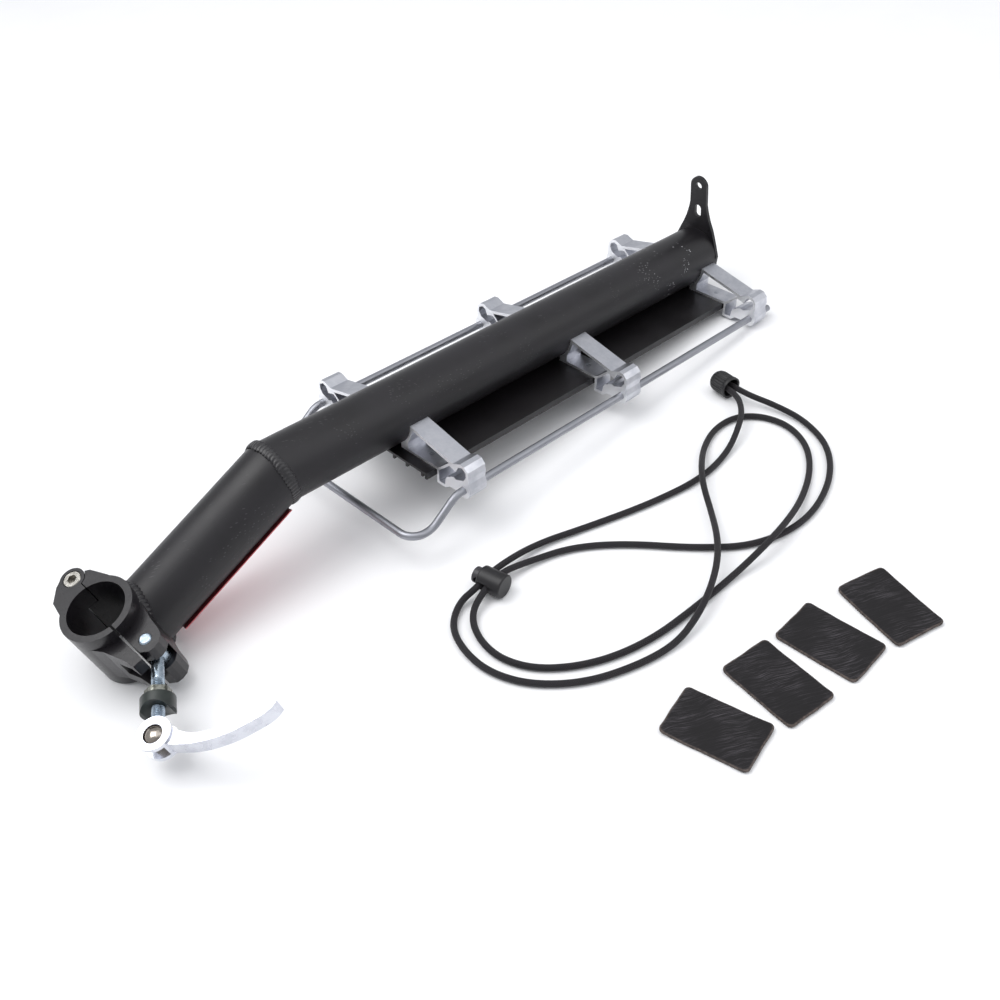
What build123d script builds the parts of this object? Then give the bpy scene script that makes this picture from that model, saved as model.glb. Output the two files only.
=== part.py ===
"""Seat-post bicycle rack, lying deck-down on a bench beside its elastic cord and rubber shims.

Millimetres, +Z up, bench top at Z = 0.  The beam runs along X with the seat-post clamp at -X.
Lengths along the beam are measured from the front pair of brackets.
"""
from math import cos, radians, sin, tan
import os

from build123d import *

# ---------------------------------------------------------------- driving dimensions
BEAM_TILT = 5.10            # the beam slopes down to the rear as the rack rests on clamp and deck
BEAM_ORIGIN = (-31.6, 123.7, 56.98)   # beam axis between the front brackets, above the bench
TUBE_R = 20.0
TUBE_WALL = 2.0
BEND_X = -95.0              # where the two tube axes cross
BEND_ANGLE = 27.25          # the front tube drops by this angle
REAR_X = 303.5              # rear end of the main tube
BEAD = 1.8                  # height of the weld beads

BORE_TILT = 70.0            # between the beam and the seat post
BORE_CENTRE = (-207.0, 0.0, -48.0)   # in the beam's own frame
BORE_R = 16.8
RING_R = 20.8
RING_H = 46.0
EAR_LOW, EAR_TOP = -20.0, 14.5   # ends of the ears along the bore
FORK_H = 29.0               # height of the band's fork
EAR_SLOT = 10.4             # room between the ears for the trunnion
SPLIT_BODY = -0.75          # the body's face at the split
SPLIT_BAND = -2.15          # the band's face at the split
HINGE = (-28.5, 2.6)        # in the clamp's plane: towards the rider's near side, towards the rear
HINGE_R = 7.3
KNUCKLE_LOW, KNUCKLE_HIGH = -12.0, 9.5   # ends of the body's knuckle
KNUCKLE_GAP = 0.3
PIN_R = 3.0
FIT = 0.05                  # radial clearance of a running fit
TRUNNION = (32.5, 6.0)
TRUNNION_R = 3.7
TRUNNION_BARREL_R = 5.4
BOLT_ANGLE = -35.8          # the bolt hangs swung out of the fork
BOLT_R = 3.5
NUT_FROM, NUT_H, NUT_FLATS = 24.0, 4.3, 13.0
WASHER_R, WASHER_H = 9.3, 8.7
WASHER_FROM = 28.3
CRADLE = 44.3               # axis of the washer's hollow, from the trunnion axis
CRADLE_R = 10.3
PIVOT_FROM = 52.4           # trunnion axis to cam pivot axis
PIVOT_R = 5.3
PIVOT_HALF = 7.8
CAM_R = 9.4
CAM_THROW = 0.5             # the cam's centre stands off its pivot
CHEEK_IN, CHEEK_OUT = 3.9, 6.6

BRACKETS = {"front": 0.0, "middle": 146.5, "rear": 294.0}
BRACKET_W = 14.7
SCREW_Y = 31.0
RAIL_R = 2.5
RAIL_Y, RAIL_Z, RAIL_REAR = 66.6, -24.0, 311.0
HOOP_X, HOOP_Z = -49.5, -38.7
DECK_FRONT, DECK_REAR = -15.0, 302.0
DECK_HALF = 42.5
DECK_TOP = -20.5
DECK_SKIN = 1.6
DECK_H = 4.2

SHIM_L, SHIM_W, SHIM_T = 51.0, 34.0, 1.8
SHIMS = [(-59.9, -145.8, -79), (-14.0, -151.6, -99), (29.0, -156.6, -89), (73.4, -166.4, -107)]

CORD_R = 2.0
STRAND = 2.4                # half the spacing of the two strands in the lock and in the end cap
LOCK = (-66.6, 12.5)
LOCK_WAY = (-0.17, 0.985)   # the way the plunger points
LOCK_R, LOCK_BORE = 7.4, 5.05
LOCK_FROM, LOCK_FLOOR, LOCK_TO = -11.5, -10.0, 4.9
PLUNGER_R = 5.0
PLUNGER_FROM, PLUNGER_TO = -5.6, 9.5
PLUNGER_TRAVEL = 3.0
CAP_MOUTH = (174.0, 15.9)
CAP_WAY = (0.15, 0.989)     # from the mouth to the closed end
CAP_R, CAP_L = 7.8, 16.5

parts = {}


def keep(block, name):
    """Label a finished piece and remember it for the export."""
    block.part.label = name
    parts[name] = block.part


# ---------------------------------------------------------------- frames of reference
tilt = radians(BEAM_TILT)
beam = Plane(origin=BEAM_ORIGIN, x_dir=(cos(tilt), 0, -sin(tilt)), z_dir=(sin(tilt), 0, cos(tilt)))


def on_beam(x, y=0.0, z=0.0):
    """A point given in the beam's own frame."""
    return beam.from_local_coords(Vector(x, y, z))


def beam_direction(x, z):
    """A direction in the beam's upright plane."""
    return beam.x_dir * x + beam.z_dir * z


def across(x, side=1):
    """Plane square to the beam: first axis points outwards on the given side, second upwards."""
    return Plane(origin=on_beam(x), x_dir=(0, side, 0), z_dir=beam.x_dir * side)


bend = radians(BEND_ANGLE)
mitre = Plane(origin=on_beam(BEND_X), x_dir=(0, 1, 0), z_dir=beam_direction(cos(bend / 2), sin(bend / 2)))


def along_front(distance):
    """Plane square to the front tube, at a distance from the bend; second axis upwards."""
    origin = on_beam(BEND_X - distance * cos(bend), 0, -distance * sin(bend))
    return Plane(origin=origin, x_dir=(0, -1, 0), z_dir=beam_direction(-cos(bend), -sin(bend)))


lean = radians(BORE_TILT)
clamp = Plane(origin=on_beam(*BORE_CENTRE), x_dir=(0, -1, 0), z_dir=beam_direction(-cos(lean), sin(lean)))

bolt_turn = radians(BOLT_ANGLE)
bolt_way = clamp.x_dir * cos(bolt_turn) + clamp.y_dir * sin(bolt_turn)


def on_clamp(a, b, c=0.0):
    return clamp.from_local_coords(Vector(a, b, c))


def along_bolt(distance):
    """Plane square to the swing bolt; its first axis is the bore's direction."""
    a = TRUNNION[0] + distance * cos(bolt_turn)
    b = TRUNNION[1] + distance * sin(bolt_turn)
    return Plane(origin=on_clamp(a, b), x_dir=clamp.z_dir, z_dir=bolt_way)


# ---------------------------------------------------------------- tubes and welds
FRONT_END = 118.0           # the front tube runs this far, into the clamp's ring

with BuildPart() as main_tube:
    with BuildSketch(across(REAR_X)):
        Circle(TUBE_R)
        Circle(TUBE_R - TUBE_WALL, mode=Mode.SUBTRACT)
    extrude(amount=-(REAR_X - BEND_X + TUBE_R))
    split(bisect_by=mitre, keep=Keep.TOP)
keep(main_tube, "main_tube")

with BuildPart() as tube_core:
    with BuildSketch(across(BEND_X + 3 * TUBE_R)):
        Circle(TUBE_R)
    extrude(amount=-5 * TUBE_R)
    split(bisect_by=mitre, keep=Keep.TOP)

with BuildPart() as front_core:
    with BuildSketch(along_front(-TUBE_R)):
        Circle(TUBE_R)
    extrude(amount=FRONT_END + TUBE_R + 20)
    split(bisect_by=mitre, keep=Keep.BOTTOM)

with BuildPart() as bend_weld:
    with BuildSketch(mitre.offset(-2.5)):
        Ellipse(TUBE_R + BEAD, TUBE_R / cos(bend / 2) + BEAD)
    extrude(amount=5)
    chamfer(bend_weld.edges().filter_by(GeomType.ELLIPSE), 1.2)
    add(tube_core.part, mode=Mode.SUBTRACT)
    add(front_core.part, mode=Mode.SUBTRACT)
keep(bend_weld, "bend_weld")

# ---------------------------------------------------------------- seat-post clamp
half = RING_H / 2


def slab(low, high, *points, mode=Mode.ADD):
    """Prism on the clamp's plane between two heights along the bore."""
    with BuildSketch(clamp.offset(low)) as profile:
        with BuildLine():
            Polyline(*points, close=True)
        make_face()
    return extrude(profile.sketch, amount=high - low, mode=mode)


def drum(low, high, centre, radius, mode=Mode.ADD):
    """Cylinder along the bore's direction."""
    with BuildSketch(clamp.offset(low)) as profile:
        with Locations(centre):
            Circle(radius)
    return extrude(profile.sketch, amount=high - low, mode=mode)


def cut(low, high, *points):
    """Take a prism away between two heights along the bore."""
    return slab(low, high, *points, mode=Mode.SUBTRACT)


with BuildPart() as clamp_body:
    drum(-half, half, (0, 0), RING_R)
    slab(-half, half, (-27.5, 9.5), (-24.6, 12.7), (-13.2, 16.9), (-6, 19), (-14, 7), (-19.5, 4.6), (-24, 4.6))
    slab(EAR_LOW, EAR_TOP, (12, SPLIT_BODY), (36.8, SPLIT_BODY), (40.4, 2.6), (41, 6), (40.2, 9.6),
         (37.5, 12.9), (33.5, 14.4), (24, 15.6), (10, 19))
    cut(-half, half, (30 - 60, -30), (30, -30), (30, SPLIT_BODY), (0, SPLIT_BODY), (0, 4.6), (-30, 4.6))
    slab(KNUCKLE_LOW, KNUCKLE_HIGH, (-31.5, 9.2), (-24.6, 12.7), (-13, 14), (-16, -1.7), (-23, -1.7), (-29, 2))
    drum(KNUCKLE_LOW, KNUCKLE_HIGH, HINGE, HINGE_R)
    drum(-half, KNUCKLE_LOW, HINGE, HINGE_R + 0.5, Mode.SUBTRACT)
    drum(KNUCKLE_HIGH, half, HINGE, HINGE_R + 0.5, Mode.SUBTRACT)
    drum(-half, half, (0, 0), BORE_R, Mode.SUBTRACT)
    drum(-half, half, HINGE, PIN_R, Mode.SUBTRACT)
    drum(-EAR_SLOT / 2, EAR_SLOT / 2, TRUNNION, 7, Mode.SUBTRACT)
    cut(-EAR_SLOT / 2, EAR_SLOT / 2, (25.5, 6), (25.5, -4), (45, -4), (45, 13), (32.5, 13))
    drum(-half, half, TRUNNION, TRUNNION_R + FIT, Mode.SUBTRACT)
keep(clamp_body, "clamp_body")

with BuildPart() as front_tube:
    with BuildSketch(along_front(-TUBE_R)):
        Circle(TUBE_R)
        Circle(TUBE_R - TUBE_WALL, mode=Mode.SUBTRACT)
    extrude(amount=FRONT_END + TUBE_R)
    split(bisect_by=mitre, keep=Keep.BOTTOM)
    with BuildSketch(clamp.offset(-RING_H)):
        Circle(RING_R)
    extrude(amount=2 * RING_H, mode=Mode.SUBTRACT)
    add(clamp_body.part, mode=Mode.SUBTRACT)
keep(front_tube, "front_tube")

with BuildPart() as clamp_weld:
    with BuildSketch(along_front(60)):
        Circle(TUBE_R + BEAD)
    extrude(amount=FRONT_END - 60)
    with BuildSketch(clamp.offset(-RING_H)):
        Circle(RING_R + 2.4)
    extrude(amount=2 * RING_H, mode=Mode.INTERSECT)
    with BuildSketch(clamp.offset(-RING_H)):
        Circle(RING_R)
    extrude(amount=2 * RING_H, mode=Mode.SUBTRACT)
    add(front_core.part, mode=Mode.SUBTRACT)
    add(clamp_body.part, mode=Mode.SUBTRACT)
keep(clamp_weld, "clamp_weld")

with BuildPart() as clamp_band:
    drum(-half, half, (0, 0), RING_R)
    cut(-half, half, (0, 30), (30, 30), (30, SPLIT_BAND), (0, SPLIT_BAND))
    cut(-half, half, (-30, 4), (0, 4), (0, 30), (-30, 30))
    cut(KNUCKLE_LOW - KNUCKLE_GAP, KNUCKLE_HIGH + KNUCKLE_GAP, (-40, -2.3), (2, -2.3), (2, 30), (-40, 30))
    slab(-FORK_H / 2, FORK_H / 2, (11, SPLIT_BAND), (41, SPLIT_BAND), (41, -8.2), (33, -9.2), (19, -13.2), (9, -18.6))
    for low, high in ((-half, KNUCKLE_LOW - KNUCKLE_GAP), (KNUCKLE_HIGH + KNUCKLE_GAP, half)):
        slab(low, high, (-35.6, 1), (-31.4, -6.4), (-24, -13.4), (-14, -15.3), (-16.9, 4), (-28.5, 4))
        drum(low, high, HINGE, HINGE_R)
        drum(low, high, HINGE, PIN_R + FIT, Mode.SUBTRACT)
    drum(half - 4.2, half, HINGE, PIVOT_R + 0.1, Mode.SUBTRACT)
    drum(-half, half, (0, 0), BORE_R, Mode.SUBTRACT)
    cut(-EAR_SLOT / 2, EAR_SLOT / 2, (24.5, 0), (45, 0), (45, -20), (24.5, -20))
keep(clamp_band, "clamp_band")

bore_axis = Axis(origin=clamp.origin, direction=clamp.z_dir)

with BuildPart() as hinge_pin:
    drum(-half + 0.5, half - 3.9, HINGE, PIN_R)
    drum(half - 4.1, half, HINGE, PIVOT_R)
    chamfer(hinge_pin.faces().sort_by(bore_axis)[-1].edges(), 0.5)
    with BuildSketch(clamp.offset(half)):
        with Locations(HINGE):
            RegularPolygon(2.9, 6)
    extrude(amount=-3.2, mode=Mode.SUBTRACT)
keep(hinge_pin, "hinge_pin")

# ---------------------------------------------------------------- swing bolt and its lever
with BuildPart() as trunnion_pin:
    drum(EAR_LOW - 0.9, EAR_TOP + 0.9, TRUNNION, TRUNNION_R)
    fillet(trunnion_pin.edges().filter_by(GeomType.CIRCLE), 1.2)
    drum(-EAR_SLOT / 2 + 0.2, EAR_SLOT / 2 - 0.2, TRUNNION, TRUNNION_BARREL_R)
    with BuildSketch(along_bolt(-10)):
        Circle(BOLT_R)
    extrude(amount=20, mode=Mode.SUBTRACT)
keep(trunnion_pin, "trunnion_pin")

with BuildPart() as swing_bolt:
    with BuildSketch(along_bolt(-4.6)):
        Circle(BOLT_R)
    extrude(amount=4.6 + PIVOT_FROM + 4.4)
    chamfer(swing_bolt.edges().filter_by(GeomType.CIRCLE), 0.5)
keep(swing_bolt, "swing_bolt")

with BuildPart() as adjusting_nut:
    with BuildSketch(along_bolt(NUT_FROM)):
        RegularPolygon(NUT_FLATS / 2, 6, major_radius=False)
    extrude(amount=NUT_H - 0.3)
    with BuildSketch(along_bolt(NUT_FROM)):
        Circle(NUT_FLATS / 2 + 0.6)
    extrude(amount=NUT_H - 0.3, mode=Mode.INTERSECT)
    with BuildSketch(along_bolt(NUT_FROM)):
        Circle(BOLT_R + FIT)
    extrude(amount=NUT_H, mode=Mode.SUBTRACT)
keep(adjusting_nut, "adjusting_nut")

cradle = (TRUNNION[0] + CRADLE * cos(bolt_turn), TRUNNION[1] + CRADLE * sin(bolt_turn))

with BuildPart() as dished_washer:
    with BuildSketch(along_bolt(WASHER_FROM)):
        Circle(WASHER_R)
    extrude(amount=WASHER_H)
    fillet(dished_washer.faces().sort_by(Axis(origin=on_clamp(*TRUNNION), direction=bolt_way))[0].edges(), 0.8)
    with BuildSketch(along_bolt(WASHER_FROM - 1)):
        Circle(BOLT_R + 0.1)
    extrude(amount=WASHER_H + 2, mode=Mode.SUBTRACT)
    drum(-12, 12, cradle, CRADLE_R, Mode.SUBTRACT)
keep(dished_washer, "dished_washer")

pivot = (TRUNNION[0] + PIVOT_FROM * cos(bolt_turn), TRUNNION[1] + PIVOT_FROM * sin(bolt_turn))
throw = bolt_turn + radians(180 - 45)       # the cam's high side, met when the lever closes
cam = (pivot[0] + CAM_THROW * cos(throw), pivot[1] + CAM_THROW * sin(throw))

with BuildPart() as cam_pivot:
    drum(-PIVOT_HALF, PIVOT_HALF, pivot, PIVOT_R)
    fillet(cam_pivot.edges().filter_by(GeomType.CIRCLE), 3.2)
    with BuildSketch(along_bolt(PIVOT_FROM - 10)):
        Circle(BOLT_R)
    extrude(amount=14.4, mode=Mode.SUBTRACT)
keep(cam_pivot, "cam_pivot")

BLADE = [(5.4, 3.6, 9.4), (11.3, 6.9, 7.4), (17.0, 10.6, 6.0), (23.8, 17.6, 5.2), (30.9, 28.2, 4.6),
         (35.2, 37.8, 4.0), (37.8, 45.6, 3.6), (37.4, 52.2, 3.2)]     # a, b from the pivot, thickness


def blade_side(sign):
    """Points along one face of the lever's blade."""
    points = []
    for i, (a, b, thick) in enumerate(BLADE):
        before, after = BLADE[max(i - 1, 0)], BLADE[min(i + 1, len(BLADE) - 1)]
        along = Vector(after[0] - before[0], after[1] - before[1]).normalized()
        points.append((pivot[0] + a - sign * along.Y * thick / 2, pivot[1] + b + sign * along.X * thick / 2))
    return points


def from_pivot(distance, turn, sideways=0.0):
    """A point on the clamp's plane, measured from the cam pivot."""
    angle = radians(turn)
    a = pivot[0] + distance * cos(angle) - sideways * sin(angle)
    return (a, pivot[1] + distance * sin(angle) + sideways * cos(angle))


LEVER_TURN = 30.3

with BuildPart() as qr_lever:
    with BuildSketch(clamp.offset(-5.2)):
        with BuildLine():
            upper = Spline(*blade_side(1))
            lower = Spline(*blade_side(-1))
            Line(upper @ 0, lower @ 0)
            Line(upper @ 1, lower @ 1)
        make_face()
    extrude(amount=10.4)
    drum(-CHEEK_OUT, CHEEK_OUT, cam, CAM_R)
    cut(-CHEEK_IN, CHEEK_IN, from_pivot(7.6, LEVER_TURN, 16), from_pivot(7.6, LEVER_TURN, -16),
        from_pivot(-16, LEVER_TURN, -16), from_pivot(-16, LEVER_TURN, 16))
    drum(-20, 20, pivot, PIVOT_R + FIT, Mode.SUBTRACT)
keep(qr_lever, "qr_lever")

# ---------------------------------------------------------------- red strip under the front tube
STRIP_R, STRIP_T, STRIP_HALF = 26.0, 0.6, 17.3
STRIP_FROM, STRIP_TO = 9.0, 98.0

with BuildPart() as red_strip:
    with BuildSketch(along_front(STRIP_FROM)):
        with Locations((0, STRIP_R - TUBE_R)):
            Circle(STRIP_R + STRIP_T)
            Circle(STRIP_R, mode=Mode.SUBTRACT)
        with Locations((0, -TUBE_R)):
            Rectangle(2 * STRIP_HALF, 14, mode=Mode.INTERSECT)
    extrude(amount=STRIP_TO - STRIP_FROM)
keep(red_strip, "red_strip")

# ---------------------------------------------------------------- brackets
SHELL = [(20.2, -0.3), (57.5, -8.8), (63.5, -6.3), (67, -6.8), (70, -9.8), (70.7, -14), (70.2, -18.5),
         (71.6, -22), (71.8, -25), (70.6, -27.8), (68.2, -29.4), (65.2, -29.4), (62.4, -27.4), (58, -27.5),
         (54.5, -27.6), (51, -30.3), (43.4, -30.3), (43.4, -20.5), (11, -20.5), (11, 0), (16, 0)]
WINDOW = [(22.2, -2.8), (54, -10.3), (46, -17.5), (44, -18.7), (17.5, -18.7), (17.5, -14)]
KEYWAY = [(45.2, -20.2), (54.3, -12.2), (57, -12.7), (60, -13.7), (62, -9.5), (65, -8.4), (68.3, -10.2),
          (68.6, -13.5), (66.5, -17), (60.2, -19.4), (58, -18.5), (55.5, -19.6), (53, -21.8), (51, -23.5),
          (50.3, -28.2), (45.2, -28.4)]
CORE_R = 22.0


def bracket_profile(plane):
    """Section of one extruded bracket, seen along the beam."""
    with BuildSketch(plane) as profile:
        with BuildLine():
            Polyline(*SHELL, close=True)
        make_face()
        Circle(TUBE_R, mode=Mode.SUBTRACT)
        with BuildLine():
            Polyline(*WINDOW, close=True)
        window = make_face(mode=Mode.PRIVATE)
        with BuildSketch(mode=Mode.PRIVATE) as core:
            Circle(CORE_R)
        add(window - core.sketch, mode=Mode.SUBTRACT)
        with BuildLine():
            Polyline(*KEYWAY, close=True)
        make_face(mode=Mode.SUBTRACT)
        with Locations((RAIL_Y, RAIL_Z)):
            Circle(RAIL_R + 2.3)
            Circle(RAIL_R + FIT, mode=Mode.SUBTRACT)
        with Locations((54.3, -23.6)):
            Circle(2.9)
    return profile.sketch


def screw_hole(x, side, radius, low, high):
    """Hole square to the deck."""
    with BuildSketch(Plane(origin=on_beam(x, side * SCREW_Y, low), x_dir=(0, 1, 0), z_dir=beam.z_dir)) as hole:
        Circle(radius)
    return extrude(hole.sketch, amount=high - low, mode=Mode.SUBTRACT)


for place, x in BRACKETS.items():
    for side, hand in ((1, "left"), (-1, "right")):
        with BuildPart() as bracket:
            extrude(bracket_profile(across(x, side)), amount=BRACKET_W / 2, both=True)
            screw_hole(x, side, 2.0, -22, -18)
        keep(bracket, f"bracket_{hand}_{place}")

# ---------------------------------------------------------------- side rail, one bent rod
rail_half = [(RAIL_REAR, RAIL_Y, RAIL_Z), (-14, RAIL_Y, RAIL_Z), (-33, RAIL_Y, HOOP_Z), (HOOP_X, RAIL_Y, HOOP_Z)]
rail_points = rail_half + [(x, -y, z) for x, y, z in reversed(rail_half)]

with BuildPart() as side_rail:
    with BuildLine():
        FilletPolyline(*[on_beam(*p) for p in rail_points], radius=[14, 14, 10.5, 10.5, 14, 14])
    with BuildSketch(across(RAIL_REAR)):
        with Locations((RAIL_Y, RAIL_Z)):
            Circle(RAIL_R)
    sweep()
    chamfer(side_rail.edges().filter_by(GeomType.CIRCLE).group_by(Axis.X)[-1], 0.4)
keep(side_rail, "side_rail")

# ---------------------------------------------------------------- deck and its screws
with BuildPart() as deck_plate:
    with BuildSketch(across(DECK_REAR)):
        with Locations((0, DECK_TOP - DECK_SKIN / 2)):
            Rectangle(2 * DECK_HALF, DECK_SKIN)
        for y in (0, 12, 24, 38):
            for side in (1, -1):
                with Locations((side * y, DECK_TOP - DECK_H / 2)):
                    Rectangle(1.6, DECK_H)
        for side in (1, -1):
            with Locations((side * (DECK_HALF - 0.9), DECK_TOP - 2.3)):
                Rectangle(1.8, 4.6)
    extrude(amount=DECK_FRONT - DECK_REAR)
    for x in BRACKETS.values():
        for side in (1, -1):
            screw_hole(x, side, 2.05, -25, -20)
keep(deck_plate, "deck_plate")

with BuildPart() as deck_screws:
    for x in BRACKETS.values():
        for side in (1, -1):
            seat = Plane(origin=on_beam(x, side * SCREW_Y, DECK_TOP - DECK_SKIN), x_dir=(0, 1, 0), z_dir=beam.z_dir)
            with BuildSketch(seat):
                Circle(3.6)
            extrude(amount=-2.0)
            with BuildSketch(seat):
                Circle(2.0)
            extrude(amount=3.3)
keep(deck_screws, "deck_screws")

# ---------------------------------------------------------------- reflector bracket on the beam's end
TAB_LEAN = 8.0
TAB_T = 2.6
lean_way = radians(TAB_LEAN)
tab = Plane(origin=on_beam(REAR_X, 0, 21), x_dir=(0, 1, 0), z_dir=beam_direction(cos(lean_way), sin(lean_way)))

with BuildPart() as reflector_bracket:
    with BuildSketch(across(REAR_X)):
        Circle(TUBE_R)
        with BuildLine():
            Polyline((20, 0), (20.4, 3), (17.6, 11), (14.8, 18), (13.4, 21.3), (-13.4, 21.3), (-14.8, 18),
                     (-17.6, 11), (-20.4, 3), (-20, 0), close=True)
        make_face()
    extrude(amount=TAB_T)
    with BuildSketch(tab):
        with BuildLine():
            Polyline((-13.6, -0.4), (13.6, -0.4), (10.2, 8), (8.2, 15), (7.2, 20), (7, 34.5), (-7, 34.5),
                     (-7.2, 20), (-8.2, 15), (-10.2, 8), close=True)
        make_face()
        with Locations((0, 34.5)):
            Circle(7)
            Circle(2.75, mode=Mode.SUBTRACT)
        with Locations((0, 14)):
            SlotOverall(10, 5.5, rotation=90, mode=Mode.SUBTRACT)
    extrude(amount=TAB_T)
keep(reflector_bracket, "reflector_bracket")

# ---------------------------------------------------------------- rubber shims
for number, (x, y, turn) in enumerate(SHIMS, 1):
    with BuildPart() as shim:
        with BuildSketch(Plane.XY):
            with Locations((x, y)):
                RectangleRounded(SHIM_L, SHIM_W, 1.2, rotation=turn)
        extrude(amount=SHIM_T)
    keep(shim, f"shim_{number}")

# ---------------------------------------------------------------- elastic cord, lock and end cap
ROUTE = [
    (172.9, 25.2, 7.8), (170.5, 9.4, 8.6), (158.2, -4.2, 9.2), (143.0, -12.9, 8.8), (122.5, -19.3, 2.2),
    (91.1, -22.2, 2.0), (51.4, -12.8, 2.0), (9.4, 2.7, 2.0), (-24.6, 15.9, 3.0), (-58.1, 16.4, 7.4),
    (-75.8, 13.3, 7.4), (-88.1, 15.7, 3.0), (-103.6, 6.2, 2.0), (-111.4, -12.3, 2.0), (-112.6, -33.3, 2.0),
    (-103.6, -55.8, 2.0), (-82.6, -76.8, 2.0), (-54.6, -89.8, 2.0), (-29.6, -95.8, 2.2), (-9.1, -94.3, 6.5),
    (9.9, -88.8, 9.6), (30.4, -78.8, 9.4), (47.4, -66.3, 9.6), (67.1, -47.1, 5.0), (78.1, -32.5, 9.8),
    (91.7, -20.4, 9.8), (115.4, -4.8, 2.5), (137.4, 2.3, 2.0), (156.9, -0.8, 2.0), (168.7, -13.8, 2.0),
    (171.7, -33.3, 2.0), (161.9, -53.8, 2.0), (142.1, -69.4, 2.0), (115.4, -80.8, 3.0), (85.4, -89.1, 9.8),
    (59.4, -91.3, 9.8), (34.4, -88.1, 2.0), (-0.6, -86.8, 2.0), (-35.6, -83.8, 2.0), (-66.6, -73.3, 2.0),
    (-91.1, -54.3, 2.0), (-101.6, -33.3, 2.0), (-100.1, -12.8, 2.0), (-90.6, 3.7, 3.2), (-75.0, 8.6, 7.4),
    (-57.3, 11.6, 7.4), (-36.7, 8.3, 3.0), (-10.6, -1.7, 2.0), (13.4, -23.8, 2.0), (38.4, -58.3, 2.0),
    (63.4, -83.3, 2.0), (100.4, -94.1, 2.0), (140.4, -85.3, 2.0), (169.9, -65.3, 2.0), (182.9, -38.3, 2.0),
    (181.4, -15.3, 4.5), (174.8, 6.7, 7.8), (177.7, 24.5, 7.8),
]


def corner_radii(points):
    """Bend radius at each corner, from the shorter of its two runs."""
    radii = []
    for before, here, after in zip(points, points[1:], points[2:]):
        arrive, leave = Vector(*here) - Vector(*before), Vector(*after) - Vector(*here)
        turn = radians(arrive.get_angle(leave))
        radii.append(0.45 * min(arrive.length, leave.length) / tan(turn / 2))
    return radii


radii = corner_radii(ROUTE)

with BuildPart() as elastic_cord:
    with BuildLine() as route:
        FilletPolyline(*ROUTE, radius=radii)
    with BuildSketch(Plane(origin=route.line @ 0, z_dir=route.line % 0)):
        Circle(CORD_R)
    sweep()
keep(elastic_cord, "elastic_cord")

lock = Plane(origin=(*LOCK, LOCK_R), x_dir=(-LOCK_WAY[1], LOCK_WAY[0], 0), z_dir=(*LOCK_WAY, 0))


def strand_slot(centre, spacing, mode=Mode.SUBTRACT):
    """Long hole right across the lock for the two strands."""
    plane = Plane(origin=lock.from_local_coords(Vector(0, 0, centre)), x_dir=lock.z_dir, z_dir=lock.x_dir)
    with BuildSketch(plane) as slot:
        SlotCenterToCenter(spacing, 2 * CORD_R + 1.2)
    return extrude(slot.sketch, amount=12, both=True, mode=mode)


with BuildPart() as cord_lock_body:
    with BuildSketch(lock.offset(LOCK_FROM)):
        Circle(LOCK_R)
    extrude(amount=LOCK_TO - LOCK_FROM)
    fillet(cord_lock_body.edges().filter_by(GeomType.CIRCLE), 1.0)
    with BuildSketch(lock.offset(LOCK_FLOOR)):
        Circle(LOCK_BORE)
    extrude(amount=LOCK_TO - LOCK_FLOOR, mode=Mode.SUBTRACT)
    strand_slot(0, 2 * STRAND)
keep(cord_lock_body, "cord_lock_body")

with BuildPart() as cord_lock_plunger:
    with BuildSketch(lock.offset(PLUNGER_FROM)):
        Circle(PLUNGER_R)
    extrude(amount=PLUNGER_TO - PLUNGER_FROM)
    fillet(cord_lock_plunger.edges().filter_by(GeomType.CIRCLE), 0.8)
    strand_slot(PLUNGER_TRAVEL / 2, 2 * STRAND + PLUNGER_TRAVEL)
keep(cord_lock_plunger, "cord_lock_plunger")

with BuildPart() as cord_lock_spring:
    with BuildLine() as coil:
        Helix(pitch=1.05, height=3.3, radius=3.4, center=lock.from_local_coords(Vector(0, 0, LOCK_FLOOR + 0.5)),
              direction=lock.z_dir)
    with BuildSketch(Plane(origin=coil.line @ 0, z_dir=coil.line % 0)):
        Circle(0.35)
    sweep(is_frenet=True)
keep(cord_lock_spring, "cord_lock_spring")

mouth = Plane(origin=(*CAP_MOUTH, CAP_R), x_dir=(CAP_WAY[1], -CAP_WAY[0], 0), z_dir=(*CAP_WAY, 0))

with BuildPart() as cord_end_cap:
    with BuildSketch(mouth):
        Circle(CAP_R)
    extrude(amount=CAP_L)
    fillet(cord_end_cap.faces().sort_by(Axis(origin=mouth.origin, direction=mouth.z_dir))[-1].edges(), 4.0)
    with BuildSketch(mouth):
        Circle(CAP_R - 1.6)
    extrude(amount=CAP_L - 4, mode=Mode.SUBTRACT)
keep(cord_end_cap, "cord_end_cap")

# ---------------------------------------------------------------- export
os.makedirs("parts", exist_ok=True)
for name, part in parts.items():
    export_step(part, f"parts/{name}.step")

print("cord bend radii, mm:", " ".join(f"{r:.0f}" for r in radii))
print("cord centreline, mm:", round(sum(e.length for e in route.line.edges()), 1))
fixed = [p for n, p in parts.items() if not n.startswith(("elastic", "cord"))]
low = [min(getattr(p.bounding_box().min, axis) for p in fixed) for axis in "XYZ"]
high = [max(getattr(p.bounding_box().max, axis) for p in fixed) for axis in "XYZ"]
print("box without the cord, mm:", [round(v, 2) for v in low], [round(v, 2) for v in high])
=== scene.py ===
"""Seat-post bicycle rack with its elastic cord and rubber shims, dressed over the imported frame."""

import math

import bpy
import numpy as np
from bpy.props import FloatProperty, FloatVectorProperty, IntProperty, PointerProperty
from mathutils import Matrix, Vector


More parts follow.
